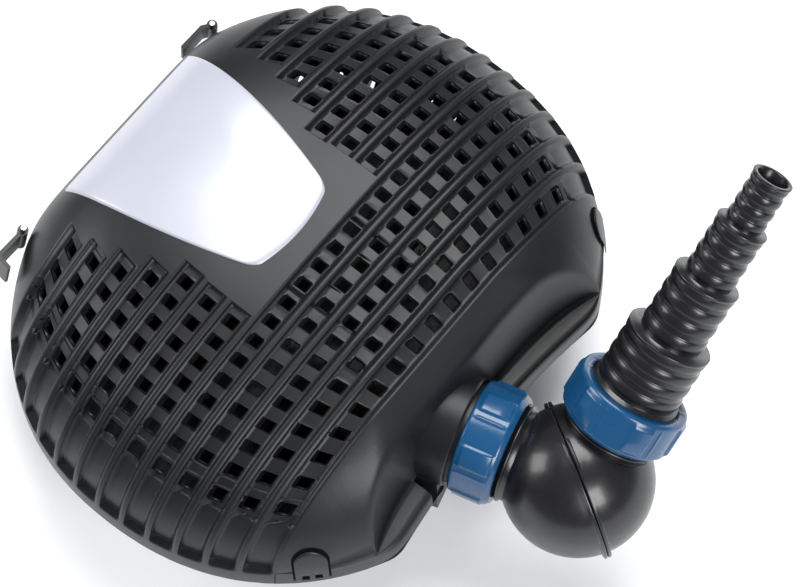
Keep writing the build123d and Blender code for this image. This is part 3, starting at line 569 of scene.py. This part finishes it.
for side, hand in ((1, "left"), (-1, "right")):
    # The first sheet, grown past the tongue, is painted shade: a matt black stand-in for the shadow in the
    # gap round the tongue.
    for name, grow, proud, thickness in (("latch_painted_gap_shade", 1.1, 0.12, 0.2), ("latch_tongue", 0.0, 0.75, 0.6)):
        windows = name == "latch_tongue"
        latch_points, latch_faces = latch_sheet(side, grow, proud, windows)
        latch = mesh_piece(f"{name}_{hand}", latch_points * mm, latch_faces[:, ::-side])
        shell = latch.modifiers.new("thickness", "SOLIDIFY")
        shell.thickness = thickness * mm
        shell.offset = -1
        if windows:
            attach(latch, f"latch_{hand}")
            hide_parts(f"front_latch_{hand}")
            dress(dark_shell, latch)
        else:
            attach(latch, "cover")
            # Near-black, matt and barely specular: painted shade for the shadow in the latch gap.
            painted_gap_shade = Finish(f"painted_gap_shade_{hand}", (0.001, 0.001, 0.001), 0.9, specular=0.1)
            painted_gap_shade.feed("Roughness", 0.8 + 0.15 * painted_gap_shade.noise(200))
            dress(painted_gap_shade, latch)

dress(dark_shell, "cord_clip_left", "cord_clip_right", "lower_shell", "outlet_neck", "suction_strainer")

pin_steel = Finish("pin_steel", (0.55, 0.55, 0.56), 0.3, metal=1.0)
brushed = pin_steel.noise(1500, 2)
pin_steel.feed("Roughness", 0.22 + 0.2 * brushed)
dress(pin_steel, "clip_pins", "chamber_screws")

# ---------------------------------------------------------------- rubber parts
# Feet, grommets, mounts and gaskets in black rubber with a bloom.
rubber = Finish("black_rubber", (0.01, 0.01, 0.01), 0.75, specular=0.3)
bloom = rubber.noise(60, 4)
rubber.feed("Base Color", rubber.blend(bloom, (0.007, 0.007, 0.008), (0.018, 0.018, 0.019)))
rubber.feed("Roughness", 0.65 + 0.2 * bloom)
rubber.bump(rubber.noise(1200, 2), 0.0001)
dress(rubber, "rubber_feet", "cord_grommet", "rubber_mounts", "cable_gland", "chamber_o_ring")
dress(rubber, "neck_gasket", "hose_gasket", "elbow_seam_ring")

# ---------------------------------------------------------------- pump block
# Black mouldings for the wet end, a ribbed motor case, and the steel, copper, ferrite and
# ceramic pieces inside.
pump_black = Finish("pump_black_plastic", (0.006, 0.006, 0.007), 0.4, specular=0.3)
flow = pump_black.noise(40, 3)
pump_black.feed("Roughness", 0.28 + 0.2 * flow)
pump_black.bump(pump_black.noise(800, 2), 0.00008)
dress(pump_black, "volute_housing", "chamber_cover", "impeller", "rotor_can", "motor_end_cap")
dress(pump_black, "motor_housing")
ceramic = Finish("white_ceramic", (0.8, 0.78, 0.72), 0.15, coat=0.5)
ceramic.feed("Roughness", 0.1 + 0.12 * ceramic.noise(200, 2))
dress(ceramic, "motor_shaft", "front_bush", "rear_bush")
ferrite = Finish("grey_ferrite", (0.05, 0.05, 0.055), 0.5, metal=0.3)
ferrite.feed("Roughness", 0.4 + 0.25 * ferrite.noise(300, 3))
dress(ferrite, "rotor_magnet")
sheet_steel = Finish("stacked_sheet_steel", (0.3, 0.3, 0.32), 0.4, metal=1.0)
sheet_steel.bump(sheet_steel.noise(900, 2), 0.0002)
dress(sheet_steel, "stator_core")
copper = Finish("enamelled_copper", (0.6, 0.25, 0.1), 0.3, metal=1.0)
copper.bump(copper.noise(1100, 1), 0.0003)
dress(copper, "stator_coils")

# ---------------------------------------------------------------- ball elbow
# Two hollow half balls of glossy black plastic that turn on each other at a seam cut across
# at 45 degrees. Each half has a neck and a fine lip at the seam, with a fin round the underside.
outlet_dir = np.array([cos(outlet_turn), sin(outlet_turn), 0])
joints = {joint["name"]: joint for joint in frame["joints"]}
ball_centre = np.array(joints["elbow_bend"]["pos_m"]) / mm
seam_dir = np.array(joints["elbow_bend"]["axis"])
hose_dir = np.array(joints["tail_turn"]["axis"])
ball_radius = 35.0


def turned(profile, axis, count=120, swell=None):
    """Points of a profile of (station, radius) turned about an axis through the ball's centre.

    A point is centre + axis*station + radius*(side*cos a + other*sin a); swell adds to the
    radius at each station and angle."""
    axis = axis / np.linalg.norm(axis)
    side = np.cross(axis, (0, 0, 1.0))
    side = side / np.linalg.norm(side)
    other = np.cross(axis, side)
    angle = np.linspace(0, 2 * np.pi, count + 1)
    station = profile[:, 0][:, None]
    radius = profile[:, 1][:, None] + (0 if swell is None else swell(station, angle[None, :]))
    ring = np.cos(angle)[None, :, None] * side + np.sin(angle)[None, :, None] * other
    return ball_centre + axis * station[..., None] + radius[..., None] * ring


def turned_piece(name, shapes):
    """One piece from several turned surfaces; each closes on itself round its axis."""
    points = []
    faces = []
    base = 0
    for grid in shapes:
        faces.append(grid_faces(grid.shape[0], grid.shape[1]) + base)
        points.append(grid.reshape(-1, 3))
        base += grid.shape[0] * grid.shape[1]
    piece = mesh_piece(name, np.concatenate(points) * mm, np.concatenate(faces))
    welded = piece.modifiers.new("weld", "WELD")
    welded.merge_threshold = 0.000002
    return piece


def ball_profile(side):
    """Half ball seen in section: a fine lip at the seam, then the sphere to its pole."""
    seam = [(0.08, 31.2), (0.16, 34.6), (0.3, 34.95), (0.6, 35.1), (0.9, 35.12), (1.2, 35.08),
            (1.5, 35.03), (1.8, 35.0), (2.0, 34.98), (2.2, 34.96)]
    arc = np.linspace(np.arcsin(2.5 / ball_radius), np.pi / 2, 44)
    station = ball_radius * np.sin(arc)
    radius = ball_radius * np.cos(arc)
    shape = np.concatenate([np.array(seam), np.stack([station, np.maximum(radius, 0.001)], axis=1)])
    return shape * np.array([side, 1.0])


def seam_relief(station, angle):
    """Relief beside the seam, by the turn in degrees: a fin that grows round the underside, a
    short pair of lines on top, and a small lug behind."""
    turn = np.mod(np.degrees(angle) + 180, 360) - 180
    near = np.abs(station)
    fin = 2.4 * np.clip((turn + 56) / 76, 0, 1) ** 1.5 * np.clip((130 - turn) / 12, 0, 1)
    lug = 2.0 * np.clip((5 - np.abs(turn + 160)) / 1.5, 0, 1)
    pair = 0.45 * np.clip((12.5 - np.abs(turn + 92)) / 2, 0, 1) * np.exp(-((near - 1.2) / 0.35) ** 2)
    return (np.maximum(fin, lug) * np.clip((2.05 - near) / 0.35, 0, 1) + pair) * (near > 0.12)


def neck_profile(thread_start, end):
    """Neck with a ring at its root, its flange or thread up to the end, then back along the bore."""
    return np.array([(25.0, 22.0), (29.4, 22.0), (29.8, 22.9), (30.4, 23.2), (31.0, 22.9), (31.4, 22.1),
                     (thread_start, 22.0), (thread_start, 23.9), (end, 23.9), (end, 17.5), (25.0, 17.5)])


def facing(grid, turn):
    """The same grid with its faces turned over where asked."""
    return grid[::-1] if turn else grid


inlet_half = turned_piece("elbow_inlet", [
    facing(turned(ball_profile(-1), seam_dir, 240, seam_relief), True),
    facing(turned(neck_profile(36.0, 39.0) * np.array([-1, 1]), outlet_dir, 96), True)])
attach(inlet_half, "elbow_inlet")
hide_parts("elbow_inlet_half")
outlet_half = turned_piece("elbow_outlet", [
    turned(ball_profile(1), seam_dir, 240, seam_relief), turned(neck_profile(33.0, 45.0), hose_dir, 96)])
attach(outlet_half, "elbow_outlet")
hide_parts("elbow_outlet_half")

gloss_black = Finish("gloss_black_plastic", (0.005, 0.005, 0.006), 0.28, coat=0.15, specular=0.4)
ripple = gloss_black.noise(34, 2)
speckle = gloss_black.noise(240, 3)
gloss_black.feed("Base Color", gloss_black.blend(ripple, (0.0035, 0.0035, 0.0045), (0.008, 0.008, 0.0095)))
gloss_black.feed("Roughness", 0.22 + 0.16 * speckle)
gloss_black.bump(ripple * 0.8 + speckle * 0.2, 0.0004, 0.3)
dress(gloss_black, inlet_half, outlet_half)

# ---------------------------------------------------------------- union nuts
# Blue glossy mouldings with chamfered ends. Six raised lands give the hand a grip, and a fine
# rib runs beside each; the lip behind pulls the ball neck against its gasket.
nut_outline = np.array([
    (35.7, 22.3), (32.5, 22.3), (32.5, 24.6), (32.8, 25.1), (33.4, 25.5), (34.2, 26.2), (34.6, 26.5),
    (35.4, 26.6), (35.9, 26.6), (36.6, 26.6), (43.0, 26.6), (48.8, 26.6), (49.6, 26.6), (50.4, 26.6),
    (51.6, 26.6), (52.2, 26.4), (52.7, 25.9), (53.0, 25.3), (53.0, 24.2), (35.7, 24.2)])
lip_outside = np.array([(53.0, 21.5), (49.8, 21.5), (49.8, 24.2), (32.5, 24.2)])
hose_nut_outline = np.concatenate([[(32.5, 24.2)], nut_outline[2:-2], lip_outside])


def grips(station, angle):
    """Raised lands: a smooth window on the turn times one along the nut."""
    turn = np.mod(np.degrees(angle) + 4, 60)
    land = np.clip((turn - 2) / 1.6, 0, 1) * np.clip((26 - turn) / 1.6, 0, 1)
    rib = 0.5 * np.exp(-((turn - 33) / 1.3) ** 2)
    along = np.clip((station - 35.4) / 1.2, 0, 1) * np.clip((50.6 - station) / 1.0, 0, 1)
    return np.maximum(land, rib) * along * (station > 33)


def grips_behind(station, angle):
    """The same lands for the nut whose stations count backwards."""
    return grips(-station, angle)


pump_nut = turned_piece("pump_side_nut", [
    facing(turned(nut_outline * np.array([-1, 1]), outlet_dir, 360, grips_behind), True)])
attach(pump_nut, "pump_nut")
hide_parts("union_nut_pump")
hose_nut = turned_piece("hose_side_nut", [turned(hose_nut_outline, hose_dir, 360, grips)])
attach(hose_nut, "hose_nut")
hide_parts("union_nut_hose")

nut_blue = Finish("glossy_blue_plastic", (0.004, 0.035, 0.14), 0.26, coat=0.2, specular=0.4)
shade = nut_blue.noise(30, 3)
nut_blue.feed("Base Color", nut_blue.blend(shade, (0.003, 0.042, 0.115), (0.006, 0.065, 0.165)))
nut_blue.feed("Roughness", 0.16 + 0.18 * nut_blue.noise(180, 3))
nut_blue.bump(nut_blue.noise(160, 2), 0.00015, 0.5)
dress(nut_blue, pump_nut, hose_nut)

# ---------------------------------------------------------------- hose tail
# A glossy black barbed tail in four steps, so that one moulding takes four sizes of hose.
# Each step has rounded ring ridges and a flared rim, and is cut off below the size in use.
tail_steps = [(20.0, 54.0, 83.3, 4), (15.5, 83.3, 115.7, 4), (12.0, 115.7, 145.4, 4), (9.3, 145.4, 171.2, 4)]
tail_points = [(46.0, 16.5), (46.0, 23.9), (49.5, 23.9), (49.6, 21.0), (54.0, 21.0), (54.1, 19.4)]
for radius, start, end, ridges in tail_steps:
    station = np.linspace(start + 0.3, end - 1.6, 26 * ridges)
    phase = np.mod((station - start) / (end - start) * ridges, 1)
    ridge = radius - 0.65 + 0.65 * np.sqrt(np.clip(1 - ((phase - 0.62) / 0.34) ** 2, 0, 1))
    tail_points.extend(np.stack([station, ridge], axis=1).tolist())
    flare = radius + 0.25
    tail_points.extend([(end - 1.2, radius), (end - 0.9, flare), (end - 0.1, flare), (end, radius + 0.1)])
tail_points.extend([(171.2, 7.8), (170.8, 7.4), (142.4, 7.4), (142.3, 9.9), (112.7, 9.9), (112.6, 13.4)])
tail_points.extend([(80.3, 13.4), (80.2, 16.5), (46.0, 16.5)])
tail = turned_piece("stepped_tail", [turned(np.array(tail_points), hose_dir, 96)])
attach(tail, "tail")
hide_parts("hose_tail")
dress(gloss_black, tail)
